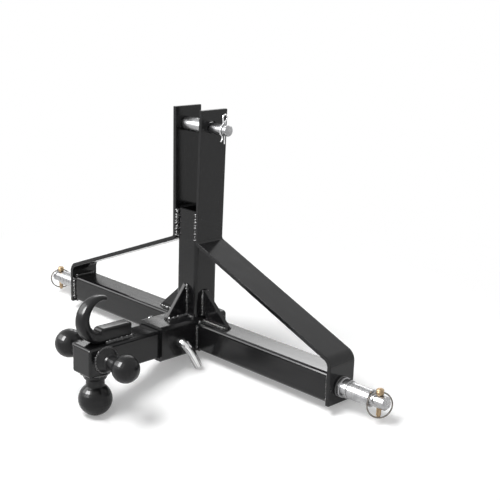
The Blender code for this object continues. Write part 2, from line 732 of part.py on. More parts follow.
def top_link():
    """The top link pin with its head, its sleeve and its spring clip."""
    head_x = -EAR_OUTER_X - SEAT_GAP - TOP_PIN_HEAD_DIAMETER / 2 * tan(EAR_SPLAY)
    edge = PIN_CHAMFER / 2
    head = TOP_PIN_HEAD_DIAMETER / 2
    profile = [
        (0, head_x - TOP_PIN_HEAD),
        (head - edge, head_x - TOP_PIN_HEAD),
        (head, head_x - TOP_PIN_HEAD + edge),
        (head, head_x),
        (TOP_PIN_RADIUS, head_x),
        (TOP_PIN_RADIUS, TOP_PIN_END_X - TOP_PIN_CHAMFER),
        (TOP_PIN_RADIUS - TOP_PIN_CHAMFER, TOP_PIN_END_X),
        (0, TOP_PIN_END_X),
    ]
    place = (0, TOP_PIN_Y, TOP_PIN_Z)
    pin = turned("top_link_pin", profile, zinc_plate("top_link_pin"), "+X", place)
    clip_place = (TOP_PIN_END_X - TOP_CLIP_INSET, TOP_PIN_Y, TOP_PIN_Z)
    cut(pin, rod_cutter("top_link_pin_clip_hole", CLIP_HOLE_RADIUS, 2 * TOP_PIN_DIAMETER, "+Z", clip_place))
    sleeve(
        "top_link_bushing",
        TOP_PIN_RADIUS + PIN_CLEARANCE,
        TOP_BUSHING_DIAMETER / 2,
        -EAR_INNER_X + TOP_BUSHING_END_PLAY,
        EAR_INNER_X - TOP_BUSHING_END_PLAY,
        place,
    )
    spring_clip("top_pin_clip", TOP_PIN_RADIUS, clip_place)


def sleeve(name, inner, outer, start, end, location):
    """A plain round sleeve along X with small outside chamfers."""
    edge = (outer - inner) / 4
    profile = [
        (inner, start),
        (outer - edge, start),
        (outer, start + edge),
        (outer, end - edge),
        (outer - edge, end),
        (inner, end),
    ]
    return turned(name, profile, zinc_plate(name), "+X", location, closed=True)


def lower_link(side):
    """A lower link pin with its collar, sleeve, linch pin and ring."""
    word = "right" if side > 0 else "left"
    axis = "+X" if side > 0 else "-X"
    name = "lower_pin_" + word
    face = PLATE_OUTER_X + SEAT_GAP
    flange_start = face + COLLAR_STANDOFF
    flange_end = flange_start + COLLAR_FLANGE
    collar_end = flange_end + COLLAR_LENGTH
    end = PLATE_OUTER_X + LOWER_PIN_REACH
    edge = PIN_CHAMFER / 2
    profile = [
        (0, PLATE_INNER_X - LOWER_PIN_STUB),
        (LOWER_PIN_RADIUS, PLATE_INNER_X - LOWER_PIN_STUB),
        (LOWER_PIN_RADIUS, face),
        (COLLAR_DIAMETER / 2, face),
        (COLLAR_DIAMETER / 2, flange_start),
        (COLLAR_FLANGE_DIAMETER / 2, flange_start),
        (COLLAR_FLANGE_DIAMETER / 2, flange_end - edge),
        (COLLAR_FLANGE_DIAMETER / 2 - edge, flange_end),
        (COLLAR_DIAMETER / 2, flange_end),
        (COLLAR_DIAMETER / 2, collar_end - edge),
        (COLLAR_DIAMETER / 2 - edge, collar_end),
        (LOWER_PIN_RADIUS, collar_end),
        (LOWER_PIN_RADIUS, end - LOWER_PIN_CHAMFER),
        (LOWER_PIN_RADIUS - LOWER_PIN_CHAMFER, end),
        (0, end),
    ]
    pin = turned(name, profile, zinc_plate(name), axis)
    hole_place = (side * LINCH_X, 0, 0)
    hole_radius = LINCH_SHANK_DIAMETER / 2 + SEAT_GAP
    cut(pin, rod_cutter(name + "_linch_hole", hole_radius, 2 * LOWER_PIN_DIAMETER, "+Z", hole_place))
    start = collar_end + SEAT_GAP
    spans = sorted((side * start, side * (start + LOWER_BUSHING_LENGTH)))
    sleeve(
        "lower_bushing_" + word,
        LOWER_PIN_RADIUS + PIN_CLEARANCE,
        LOWER_BUSHING_DIAMETER / 2,
        spans[0],
        spans[1],
        (0, 0, 0),
    )
    linch_pin(side, word)
    linch_ring(side, word)


def linch_pin(side, word):
    """A round shank with a drilled head and a thinner nose that the ring snaps onto."""
    name = "linch_pin_" + word
    shank = LINCH_SHANK_DIAMETER / 2
    nose = LINCH_NOSE_DIAMETER / 2
    nose_top = RING_BOTTOM_Z + RING_WIRE / 2 + LINCH_NOSE_PLAY
    head = LINCH_HEAD_DIAMETER / 2
    groove = LINCH_HEAD_GROOVE
    shoulder = LINCH_HEAD_Z + LINCH_HEAD_HEIGHT - LINCH_HEAD_DOME
    profile = [
        (0, LINCH_TIP_Z),
        (nose - LINCH_TIP_EDGE, LINCH_TIP_Z),
        (nose, LINCH_TIP_Z + LINCH_TIP_EDGE),
        (nose, nose_top),
        (shank, nose_top + shank - nose),
        (shank, LINCH_HEAD_Z),
        (head - groove, LINCH_HEAD_Z),
        (head, LINCH_HEAD_Z + groove),
        (head, shoulder - 3 * groove),
        (head - groove, shoulder - 2 * groove),
        (head - groove, shoulder - groove),
        (head, shoulder),
    ]
    for step in range(1, CORNER_STEPS + 1):
        angle = pi / 2 * step / CORNER_STEPS
        profile.append((head * cos(angle), shoulder + LINCH_HEAD_DOME * sin(angle)))
    profile[-1] = (0, LINCH_HEAD_Z + LINCH_HEAD_HEIGHT)
    pin = turned(name, profile, yellow_zinc(name), "+Z", (side * LINCH_X, 0, 0), LINCH_SIDES)
    hinge = (side * LINCH_X, 0, LINCH_HINGE_Z)
    hole = rod_cutter(name + "_ring_hole", RING_WIRE / 2 + SEAT_GAP, 2 * LINCH_HEAD_DIAMETER, "+X", hinge)
    hole.rotation_euler.z = RING_TURN
    cut(pin, hole)


def linch_ring(side, word):
    """A spring ring whose ends sit in the head and whose far side rests on the shank's nose."""
    name = "linch_ring_" + word
    start = asin(RING_START / RING_RADIUS)
    path = [(RING_STUB_END, 0), (RING_START - RING_WIRE / 2, 0)]
    path += arc((0, -RING_CENTRE_DROP), RING_RADIUS, pi / 2 - start, -3 * pi / 2 + start, RING_STEPS)
    path += [(-RING_START + RING_WIRE / 2, 0), (-RING_STUB_END, 0)]
    points = [(u, 0, z) for u, z in path]
    place = (side * LINCH_X, 0, LINCH_HINGE_Z)
    wire(name, points, RING_WIRE, spring_steel(name), place, RING_TURN, -side * RING_TILT)


def build():
    clear_scene()
    receiver()
    crossbars()
    mast()
    side_strap(1)
    side_strap(-1)
    gussets()
    ball_mount_shank()
    balls()
    tow_hook()
    hitch_pin()
    top_link()
    lower_link(1)
    lower_link(-1)


build()
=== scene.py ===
"""Looks for the three point receiver hitch: gloss black paint with its weld beads,
bright zinc pins and sleeves, yellow linch pins, a pale floor and soft studio light.

Lengths are in metres. +X runs along the crossbars, -Y out of the receiver, +Z up.
"""

from math import copysign, cos, pi, radians, sin, tau

import bmesh
import bpy
from mathutils import Matrix, Vector


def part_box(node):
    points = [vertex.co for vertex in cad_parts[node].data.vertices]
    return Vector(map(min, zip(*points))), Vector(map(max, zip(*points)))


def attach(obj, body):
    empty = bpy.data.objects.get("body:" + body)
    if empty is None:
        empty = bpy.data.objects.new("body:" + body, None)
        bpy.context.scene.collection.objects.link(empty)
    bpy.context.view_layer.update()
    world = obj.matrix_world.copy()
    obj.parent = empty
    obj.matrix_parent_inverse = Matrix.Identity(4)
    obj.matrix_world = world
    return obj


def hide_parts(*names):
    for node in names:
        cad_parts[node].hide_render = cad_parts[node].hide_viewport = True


MM = 0.001

AXIS_X = Vector((1, 0, 0))
AXIS_Y = Vector((0, 1, 0))
AXIS_Z = Vector((0, 0, 1))
RIGHT_AND_LEFT = (("right", 1), ("left", -1))

# Camera
CAMERA_PLACE = Vector((1298.53, -1184.62, 634.45)) * MM
CAMERA_RIGHT = Vector((0.70583, 0.70755, 0.03431))
CAMERA_UP = Vector((-0.21030, 0.16304, 0.96395))
CAMERA_LENS_MM = 72.77
CAMERA_SENSOR_MM = 36.0
CAMERA_NEAR = 0.05
CAMERA_FAR = 60.0

# Shape of a weld bead
BEAD_STEP = 0.55 * MM
BEAD_SIDES = 12
BEAD_RIPPLE = 5.2 * MM
BEAD_RIPPLE_MEAN = 0.6
BEAD_LOW = 0.66
BEAD_HIGH = 0.5
BEAD_BOW = 0.9
BEAD_LUMP = 0.18
BEAD_END = 3.0 * MM
BEAD_END_SIZE = 0.45
RING_STEPS = 48

# Waves that make a weld bead uneven: each WAVE is in radians to the metre
SWAY_WAVE = 560.0
SLOW_SWAY_WAVE = 237.0
SLOW_SWAY_SHARE = 0.6
SLOW_SWAY_START = 1.0
WANDER = 0.35
WANDER_WAVE = 620.0
WANDER_BEND = 1.7
WANDER_BEND_WAVE = 95.0

# Sizes and places of the weld beads
PLATE_BEAD = 4.4 * MM
EAR_BEAD = 5.0 * MM
EAR_BEAD_TOP = 2.0 * MM
EAR_BEAD_FOOT = 52.0 * MM
TUBE_BEAD = 3.4 * MM
TUBE_CORNER = 6.0 * MM
MAST_BEAD_INSET = 2.0 * MM
BALL_BEAD = 3.0 * MM
BALL_BEAD_RELIEF = 0.5
SIDE_FLANGE_RADIUS = 21.5 * MM
BOTTOM_FLANGE_RADIUS = 23.5 * MM
PIN_BEAD = 2.6 * MM
PIN_BEAD_RADIUS = 15.6 * MM
PIN_BEAD_STEP = 0.9 * MM
PIN_BEAD_RELIEF = 0.15
HOOK_BEAD_LENGTH = 58.0 * MM

# Tow hook: the solid's own lines with a rounder forged section
HOOK_OUTER_RADIUS = 41.0 * MM
HOOK_INNER_RADIUS = 27.4 * MM
HOOK_INNER_SHIFT = 4.6 * MM
HOOK_POINT = radians(66.0)
HOOK_OUTER_END = radians(268.0)
HOOK_INNER_END = radians(257.0)
HOOK_POINT_WIDTH = 9.6 * MM
HOOK_SWELL = 0.52
HOOK_EASE_START = 0.72
HOOK_EASE_SPAN = 0.28
HOOK_BLOCK_HEIGHT = 25.0 * MM
HOOK_SHOULDER = 7.5 * MM
HOOK_REAR_ROUND = 4.0 * MM
HOOK_POINT_ROUND = 3.0 * MM
HOOK_ARM_POWER = 2.7
HOOK_ARM_GROWTH = 1.05
HOOK_BLOCK_POWER = 7.0
HOOK_SIDES = 48
HOOK_STEPS = 56
ROUND_STEPS = 6

# Edges that turn by more than this stay sharp
NODE_SHARP_ANGLE = radians(35)
HOOK_SHARP_ANGLE = radians(50)

# Finishes
FINE_BUMP = 0.3 * MM
PLAIN_BUMP = 0.4 * MM
BALL_BUMP = 0.5 * MM
GROOVE_PITCH = 3.6 * MM
LOWER_PIN_AXIS = (0.0, 0.0)
TOP_PIN_AXIS = (-5.0 * MM, 376.7 * MM)
HITCH_PIN_LEAN = radians(31)

# Floor
FLOOR_COLOR = (0.86, 0.86, 0.86, 1.0)
FLOOR_LIFT = 0.2
FLOOR_GAP = 0.6 * MM
FLOOR_REACH = 6.0
WHITE = (1, 1, 1, 1)
WHITE_START = 0.45
WHITE_END = 0.9

# Softboxes as (name, place, size, power): the mirrored ones light the gloss alone
MIRRORED_LAMPS = [
    ("key", (-0.65, -2.0, 1.6), (1.45, 1.45), 185.0),
    ("window", (-1.9, -1.5, 1.35), (2.0, 1.6), 38.0),
    ("strip", (-2.1, 2.5, 1.75), (3.0, 0.75), 34.0),
]
OVERHEAD_LAMP = ("overhead", (-0.45, -1.3, 2.6), (1.5, 1.5), 67.0)
LAMP_TARGET = Vector((0.0, -0.05, 0.1))

# The room's soft light, from low down to overhead
ROOM_DIM_START = 0.3
ROOM_DIM_END = 0.85
ROOM_LOW = 0.9
ROOM_HIGH = 0.28

BLACK_NODES = [
    "receiver_tube",
    "crossbar_left",
    "crossbar_right",
    "mast_tube",
    "side_strap_left",
    "side_strap_right",
    "gusset_front",
    "gusset_left",
    "gusset_right",
    "ball_mount_shank",
]
BALL_NODES = ["ball_bottom", "ball_left", "ball_right"]
TOP_ZINC_NODES = ["top_link_pin", "top_link_bushing"]
LOWER_ZINC_NODES = [
    "lower_pin_left",
    "lower_pin_right",
    "lower_bushing_left",
    "lower_bushing_right",
]
CLIP_NODES = ["hitch_pin_clip", "top_pin_clip"]
YELLOW_NODES = ["linch_pin_left", "linch_pin_right"]
RING_NODES = ["linch_ring_left", "linch_ring_right"]


class Tree:
    """A short way to add and link nodes."""

    def __init__(self, node_tree):
        self.node_tree = node_tree

    def add(self, kind, **settings):
        node = self.node_tree.nodes.new(kind)
        for key, value in settings.items():
            setattr(node, key, value)
        return node

    def link(self, source, target):
        self.node_tree.links.new(source, target)

    def combine(self, operation, first, second):
        """What an operation makes of two sources."""
        node = self.add("ShaderNodeMath", operation=operation)
        self.link(first, node.inputs[0])
        self.link(second, node.inputs[1])
        return node.outputs["Value"]

    def span(self, source, low, high, start=0.0, end=1.0, **settings):
        """Runs from low to high while the source runs from start to end."""
        node = self.add("ShaderNodeMapRange", **settings)
        node.inputs["From Min"].default_value = start
        node.inputs["From Max"].default_value = end
        node.inputs["To Min"].default_value = low
        node.inputs["To Max"].default_value = high
        self.link(source, node.inputs["Value"])
        return node.outputs["Result"]

    def show(self, output, share, first, second):
        """Mixes two shaders into the tree's output, by the second one's share."""
        mix = self.add("ShaderNodeMixShader")
        out = self.add(output)
        self.link(share, mix.inputs["Fac"])
        self.link(first.outputs[0], mix.inputs[1])
        self.link(second.outputs[0], mix.inputs[2])
        self.link(mix.outputs[0], out.inputs["Surface"])


class Finish(Tree):
    """A short way to build a material on its main shader."""

    def __init__(self, name):
        self.material = bpy.data.materials.new(name)
        self.material.use_nodes = True
        super().__init__(self.material.node_tree)
        self.shader = self.node_tree.nodes["Principled BSDF"]

    def noise(self, scale, detail=3.0, roughness=0.5, stretch=None, lean=0.0):
        place = self.add("ShaderNodeTexCoord")
        texture = self.add("ShaderNodeTexNoise")
        texture.inputs["Scale"].default_value = scale
        texture.inputs["Detail"].default_value = detail
        texture.inputs["Roughness"].default_value = roughness
        source = place.outputs["Object"]
        if stretch:
            mapping = self.add("ShaderNodeMapping", vector_type="TEXTURE")
            mapping.inputs["Rotation"].default_value = (lean, 0.0, 0.0)
            mapping.inputs["Scale"].default_value = tuple(1 / value for value in stretch)
            self.link(source, mapping.inputs["Vector"])
            source = mapping.outputs["Vector"]
        self.link(source, texture.inputs["Vector"])
        return texture.outputs["Fac"]

    def tint(self, source, dark, light, start=0.3, end=0.7):
        node = self.add("ShaderNodeValToRGB")
        node.color_ramp.elements[0].position = start
        node.color_ramp.elements[0].color = (*dark, 1)
        node.color_ramp.elements[1].position = end
        node.color_ramp.elements[1].color = (*light, 1)
        self.link(source, node.inputs["Fac"])
        return node.outputs["Color"]

    def rings(self, axis_y, axis_z):
        """Concentric grooves round an axis along X, as a cut end shows them."""
        place = self.add("ShaderNodeTexCoord")
        centred = self.add("ShaderNodeVectorMath", operation="SUBTRACT")
        centred.inputs[1].default_value = (0.0, axis_y, axis_z)
        flat = self.add("ShaderNodeVectorMath", operation="MULTIPLY")
        flat.inputs[1].default_value = (0.0, 1.0, 1.0)
        radius = self.add("ShaderNodeVectorMath", operation="LENGTH")
        turns = self.add("ShaderNodeMath", operation="MULTIPLY")
        turns.inputs[1].default_value = tau / GROOVE_PITCH
        wave = self.add("ShaderNodeMath", operation="SINE")
        self.link(place.outputs["Object"], centred.inputs[0])
        self.link(centred.outputs["Vector"], flat.inputs[0])
        self.link(flat.outputs["Vector"], radius.inputs[0])
        self.link(radius.outputs["Value"], turns.inputs[0])
        self.link(turns.outputs["Value"], wave.inputs[0])
        return wave.outputs["Value"]

    def bump(self, heights):
        """Chains bumps given as (height source, strength, distance)."""
        before = None
        for source, strength, distance in heights:
            node = self.add("ShaderNodeBump")
            node.inputs["Strength"].default_value = strength
            node.inputs["Distance"].default_value = distance
            self.link(source, node.inputs["Height"])
            if before:
                self.link(before, node.inputs["Normal"])
            before = node.outputs["Normal"]
        self.link(before, self.shader.inputs["Normal"])

    def color(self, source):
        self.link(source, self.shader.inputs["Base Color"])

    def roughness(self, source):
        self.link(source, self.shader.inputs["Roughness"])

    def put(self, **values):
        """Sets the shader's plain inputs, named with underscores for spaces."""
        for key, value in values.items():
            self.shader.inputs[key.replace("_", " ")].default_value = value


def black_paint():
    """Gloss powder coat: almost black, with a very faint orange peel."""
    paint = Finish("gloss_black_paint")
    clouds = paint.noise(scale=7.0, detail=2.0)
    peel = paint.noise(scale=160.0, detail=2.0)
    streaks = paint.noise(scale=30.0, roughness=0.55, stretch=(0.06, 3.0, 3.0))
    paint.color(paint.tint(clouds, dark=(0.0055, 0.0055, 0.006), light=(0.009, 0.009, 0.0095)))
    paint.roughness(paint.span(streaks, low=0.12, high=0.2, start=0.3, end=0.7))
    paint.bump([(streaks, 0.05, PLAIN_BUMP), (peel, 0.03, PLAIN_BUMP)])
    paint.put(Specular_IOR_Level=0.3)
    return paint.material


def weld_paint():
    """The same coat lying thin and shiny over the weld beads."""
    paint = Finish("painted_weld")
    grain = paint.noise(scale=520.0, detail=2.0)
    paint.color(paint.tint(grain, dark=(0.005, 0.005, 0.0055), light=(0.011, 0.011, 0.0115)))
    paint.roughness(paint.span(grain, low=0.08, high=0.16))
    paint.bump([(grain, 0.12, PLAIN_BUMP)])
    paint.put(Specular_IOR_Level=0.6, Coat_Weight=0.5, Coat_Roughness=0.05)
    return paint.material


def ball_coat():
    """A deeper black on the turned balls and the hook: a clear coat over a satin one."""
    coat = Finish("gloss_black_balls")
    clouds = coat.noise(scale=20.0, detail=2.0)
    coat.color(coat.tint(clouds, dark=(0.004, 0.004, 0.0045), light=(0.007, 0.007, 0.0075)))
    coat.roughness(coat.span(clouds, low=0.36, high=0.44))
    coat.bump([(clouds, 0.02, BALL_BUMP)])
    coat.put(Specular_IOR_Level=0.08, Coat_Weight=0.4, Coat_Roughness=0.15)
    return coat.material


def turned_zinc(name, axis_y, axis_z):
    """Bright zinc over turned steel, with tool lines round the axis and drawn streaks along it."""
    zinc = Finish(name)
    lines = zinc.noise(scale=90.0, detail=4.0, roughness=0.65, stretch=(26.0, 1.2, 1.2))
    drawn = zinc.noise(scale=190.0, roughness=0.6, stretch=(0.04, 2.0, 2.0))
    clouds = zinc.noise(scale=60.0, detail=2.0)
    rings = zinc.rings(axis_y, axis_z)
    zinc.color(zinc.tint(clouds, dark=(0.27, 0.27, 0.275), light=(0.44, 0.44, 0.445)))
    zinc.roughness(zinc.span(lines, low=0.2, high=0.34))
    zinc.bump([(lines, 0.05, FINE_BUMP), (drawn, 0.3, FINE_BUMP), (rings, 0.8, FINE_BUMP)])
    zinc.put(Metallic=1.0)
    return zinc.material


def zinc_with_painted_reflections():
    """Bright zinc on drawn bar, with painted reflections: dark and bright lines in its colour that
    follow it round its bend.
    """
    zinc = Finish("bright_zinc_painted_reflections")
    lines = zinc.noise(scale=165.0, roughness=0.6, stretch=(0.03, 2.6, 0.03), lean=HITCH_PIN_LEAN)
    # Painted reflection: the colour runs from near black to bright along the lines, in place of dark
    # surroundings and the pale floor mirrored in the bar.
    color = zinc.tint(lines, dark=(0.12, 0.12, 0.12), light=(0.74, 0.74, 0.74), start=0.33, end=0.5)
    zinc.color(color)
    zinc.roughness(zinc.span(lines, low=0.12, high=0.24))
    zinc.bump([(lines, 0.5, PLAIN_BUMP)])
    zinc.put(Metallic=1.0)
    return zinc.material


def clip_zinc():
    """Bright drawn wire."""
    zinc = Finish("clip_wire")
    clouds = zinc.noise(scale=180.0, detail=2.0)
    zinc.color(zinc.tint(clouds, dark=(0.68, 0.68, 0.69), light=(0.86, 0.86, 0.86)))
    zinc.roughness(zinc.span(clouds, low=0.2, high=0.34))
    zinc.bump([(clouds, 0.08, FINE_BUMP)])
    zinc.put(Metallic=1.0)
    return zinc.material


def yellow_zinc():
    """Yellow passivated zinc with its uneven gold and grey tints."""
    zinc = Finish("yellow_zinc_plate")
    clouds = zinc.noise(scale=230.0)
    grain = zinc.noise(scale=900.0)
    zinc.color(zinc.tint(clouds, dark=(0.17, 0.115, 0.064), light=(0.53, 0.40, 0.255)))
    zinc.roughness(zinc.span(grain, low=0.3, high=0.48))
    zinc.bump([(grain, 0.15, FINE_BUMP)])
    zinc.put(Metallic=1.0)
    return zinc.material


def ring_steel():
    """Dark spring wire."""
    steel = Finish("ring_wire")
    clouds = steel.noise(scale=160.0)
    steel.color(steel.tint(clouds, dark=(0.10, 0.09, 0.08), light=(0.24, 0.22, 0.20)))
    steel.roughness(steel.span(clouds, low=0.25, high=0.4))
    steel.bump([(clouds, 0.1, FINE_BUMP)])
    steel.put(Metallic=1.0)
    return steel.material


def dress(names, material):
    """Gives CAD nodes a material and smooth shading between their sharp edges."""
    for name in names:
        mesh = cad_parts[name].data
        mesh.materials.clear()
        mesh.materials.append(material)
        mesh.shade_smooth()
        mesh.set_sharp_from_angle(angle=NODE_SHARP_ANGLE)


def skin(name, loops, material, closed=False):
    """A smooth piece through loops of points, capped unless it closes on itself."""
    bm = bmesh.new()
    rows = [[bm.verts.new(point) for point in loop] for loop in loops]
    pairs = list(zip(rows, rows[1:]))
    if closed:
        pairs.append((rows[-1], rows[0]))
    sides = len(loops[0])
    for low, high in pairs:
        for k in range(sides):
            j = (k + 1) % sides
            bm.faces.new((low[k], low[j], high[j], high[k]))
    if not closed:
        bm.faces.new(list(reversed(rows[0])))
        bm.faces.new(rows[-1])
    bmesh.ops.recalc_face_normals(bm, faces=bm.faces)
    mesh = bpy.data.meshes.new(name)
    bm.to_mesh(mesh)
    bm.free()
    mesh.shade_smooth()
    mesh.materials.append(material)
    piece = bpy.data.objects.new(name, mesh)
    bpy.context.scene.collection.objects.link(piece)
    return piece


def resample(points, step, closed):
    """Points a step apart along a polyline."""
    path = [Vector(point) for point in points]
    if closed:
        path.append(path[0])
    lengths = [(b - a).length for a, b in zip(path, path[1:])]
    total = sum(lengths)
    count = max(4, round(total / step))
    places = []
    walked = 0.0
    leg = 0
    for i in range(count if closed else count + 1):
        target = total * i / count
        while leg < len(lengths) - 1 and walked + lengths[leg] < target:
            walked += lengths[leg]
            leg += 1
        share = (target - walked) / lengths[leg]
        places.append(path[leg].lerp(path[leg + 1], share))
    return places, total


def bead_swell(distance, relief):
    """A bead's uneven size along its line."""
    sway = sin(distance * SWAY_WAVE)
    sway += SLOW_SWAY_SHARE * sin(distance * SLOW_SWAY_WAVE + SLOW_SWAY_START)
    return 1.0 + BEAD_LUMP * relief * sway


def bead_ripple(distance, angle, relief):
    """A bead's ripples along its line, which bow as they run round it."""
    wander = WANDER * sin(distance * WANDER_WAVE + WANDER_BEND * sin(distance * WANDER_BEND_WAVE))
    ripple = abs(sin(pi * distance / BEAD_RIPPLE + BEAD_BOW * cos(2 * angle) / 2 + wander))
    return BEAD_LOW + BEAD_HIGH * (BEAD_RIPPLE_MEAN + relief * (ripple - BEAD_RIPPLE_MEAN))


def weld_bead(name, points, radius, closed=False, relief=1.0):
    """A rippled bead along a line that lies in the corner between two faces."""
    places, total = resample(points, BEAD_STEP, closed)
    count = len(places)
    loops = []
    for i, place in enumerate(places):
        before = places[i - 1] if closed or i else place
        after = places[(i + 1) % count] if closed or i < count - 1 else place
        along = (after - before).normalized()
        side = along.orthogonal().normalized()
        other = along.cross(side)
        distance = total * i / count
        swell = bead_swell(distance, relief)
        if not closed:
            from_end = min(distance, total - distance)
            swell *= min(1.0, BEAD_END_SIZE + (1.0 - BEAD_END_SIZE) * from_end / BEAD_END)
        loop = []
        for k in range(BEAD_SIDES):
            angle = tau * k / BEAD_SIDES
            size = radius * swell * bead_ripple(distance, angle, relief)
            loop.append(place + (side * cos(angle) + other * sin(angle)) * size)
        loops.append(loop)
    bead = skin(name, loops, WELD_PAINT, closed)
    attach(bead, "frame")


def ring_bead(name, centre, across, ring_radius, radius, relief):
    """A bead round an axis that is named by the two directions across it."""
    first, second = across
    points = []
    for step in range(RING_STEPS):
        angle = tau * step / RING_STEPS
        points.append(Vector(centre) + (first * cos(angle) + second * sin(angle)) * ring_radius)
    weld_bead(name, points, radius, closed=True, relief=relief)


def front_gusset_welds():
    """Beads along the front gusset's foot and back."""
    low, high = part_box("gusset_front")
    for side in (-1, 1):
        x = side * high.x
        foot = [(x, low.y, low.z), (x, high.y, low.z)]
        back = [(x, high.y, low.z), (x, high.y, high.z)]
        weld_bead(f"weld_gusset_front_foot_{side + 1}", foot, PLATE_BEAD)
        weld_bead(f"weld_gusset_front_back_{side + 1}", back, PLATE_BEAD)


def side_gusset_welds(word, sign):
    """Beads along a side gusset's foot on its crossbar and its back on the mast."""
    low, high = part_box("gusset_" + word)
    receiver_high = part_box("receiver_tube")[1]
    bar_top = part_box("crossbar_" + word)[1].z
    step = sign * receiver_high.x
    near = low.x if sign > 0 else high.x
    far = high.x if sign > 0 else low.x
    for y, mark in ((low.y, "front"), (high.y, "rear")):
        foot = [(step, y, bar_top), (far, y, bar_top)]
        back = [(near, y, receiver_high.z), (near, y, high.z)]
        weld_bead(f"weld_gusset_{word}_{mark}_foot", foot, PLATE_BEAD)
        weld_bead(f"weld_gusset_{word}_{mark}_back", back, PLATE_BEAD)


def crossbar_welds(word, sign):
    """Beads round a crossbar's ends, at the receiver and at the end plate."""
    low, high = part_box("crossbar_" + word)
    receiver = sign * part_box("receiver_tube")[1].x
    plate = high.x if sign > 0 else low.x
    for x, mark in ((receiver, "receiver"), (plate, "plate")):
        corners = [
            (x, low.y, low.z + TUBE_CORNER),
            (x, low.y, high.z - TUBE_CORNER),
            (x, low.y + TUBE_CORNER, high.z),
            (x, high.y - TUBE_CORNER, high.z),
            (x, high.y, high.z - TUBE_CORNER),
            (x, high.y, low.z + TUBE_CORNER),
            (x, high.y - TUBE_CORNER, low.z),
            (x, low.y + TUBE_CORNER, low.z),
        ]
        weld_bead(f"weld_crossbar_{word}_{mark}", corners, TUBE_BEAD, closed=True)


def ear_welds(word, sign):
    """Upright beads between the mast and an ear."""
    low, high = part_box("mast_tube")
    x = sign * high.x
    for y, mark in ((low.y, "front"), (high.y, "rear")):
        line = [(x, y, high.z - EAR_BEAD_FOOT), (x, y, high.z - EAR_BEAD_TOP)]
        weld_bead(f"weld_ear_{word}_{mark}", line, EAR_BEAD)


def mast_welds():
    """Beads along the mast's foot on the receiver."""
    low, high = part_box("mast_tube")
    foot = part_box("receiver_tube")[1].z
    for y, mark in ((low.y, "front"), (high.y, "rear")):
        line = [(low.x + MAST_BEAD_INSET, y, foot), (high.x - MAST_BEAD_INSET, y, foot)]
        weld_bead(f"weld_mast_{mark}", line, TUBE_BEAD)


def frame_welds():
    """Beads at the gussets, the crossbars' ends, the ears and the mast's foot."""
    front_gusset_welds()
    for word, sign in RIGHT_AND_LEFT:
        side_gusset_welds(word, sign)
        crossbar_welds(word, sign)
        ear_welds(word, sign)
    mast_welds()


def middle_of(name):
    """The middle of a CAD node's box."""
    low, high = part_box(name)
    return (low + high) / 2


def ball_welds():
    """Beads round the three balls' flanges."""
    low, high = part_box("ball_mount_shank")
    for word, x in (("right", high.x), ("left", low.x)):
        seat = middle_of("ball_" + word)
        centre = (x, seat.y, seat.z)
        across = (AXIS_Y, AXIS_Z)
        ring_bead("weld_ball_" + word, centre, across, SIDE_FLANGE_RADIUS, BALL_BEAD, BALL_BEAD_RELIEF)
    seat = middle_of("ball_bottom")
    centre = (seat.x, seat.y, low.z)
    across = (AXIS_X, AXIS_Y)
    ring_bead("weld_ball_bottom", centre, across, BOTTOM_FLANGE_RADIUS, BALL_BEAD, BALL_BEAD_RELIEF)


def hook_welds():
    """Beads along the sides and the rear of the hook's block."""
    low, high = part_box("tow_hook")
    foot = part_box("ball_mount_shank")[1].z
    rear = high.y
    for side in (-1, 1):
        x = side * high.x
        line = [(x, rear, foot), (x, rear - HOOK_BEAD_LENGTH, foot)]
        weld_bead(f"weld_hook_{side + 1}", line, PLATE_BEAD)
    weld_bead("weld_hook_rear", [(low.x, rear, foot), (high.x, rear, foot)], PLATE_BEAD)


def pin_welds():
    """The painted weld between each end plate and its lower pin's flange."""
    for word, sign in RIGHT_AND_LEFT:
        low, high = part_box("side_strap_" + word)
        face = high.x if sign > 0 else low.x
        centre = (face + sign * PIN_BEAD_STEP, 0, 0)
        across = (AXIS_Y, AXIS_Z)
        ring_bead("weld_lower_pin_" + word, centre, across, PIN_BEAD_RADIUS, PIN_BEAD, PIN_BEAD_RELIEF)


def circle_point(y, z, radius, angle):
    """A point on a circle that lies across X."""
    return Vector((0, y + radius * cos(angle), z + radius * sin(angle)))


def oval(outer, inner, half_width, power, growth=1.0, inset=0.0):
    """A section between two points and along X, squarer as its power rises."""
    middle = (outer + inner) / 2
    reach = (inner - outer) / 2
    half_depth = reach.length
    deep = half_depth * growth - inset
    wide = half_width * growth - inset
    points = []
    for k in range(HOOK_SIDES):
        angle = tau * (k + 0.5) / HOOK_SIDES
        u = copysign(abs(cos(angle)) ** (2 / power), cos(angle)) * deep
        v = copysign(abs(sin(angle)) ** (2 / power), sin(angle)) * wide
        points.append(middle + reach / half_depth * u + AXIS_X * v)
    return points


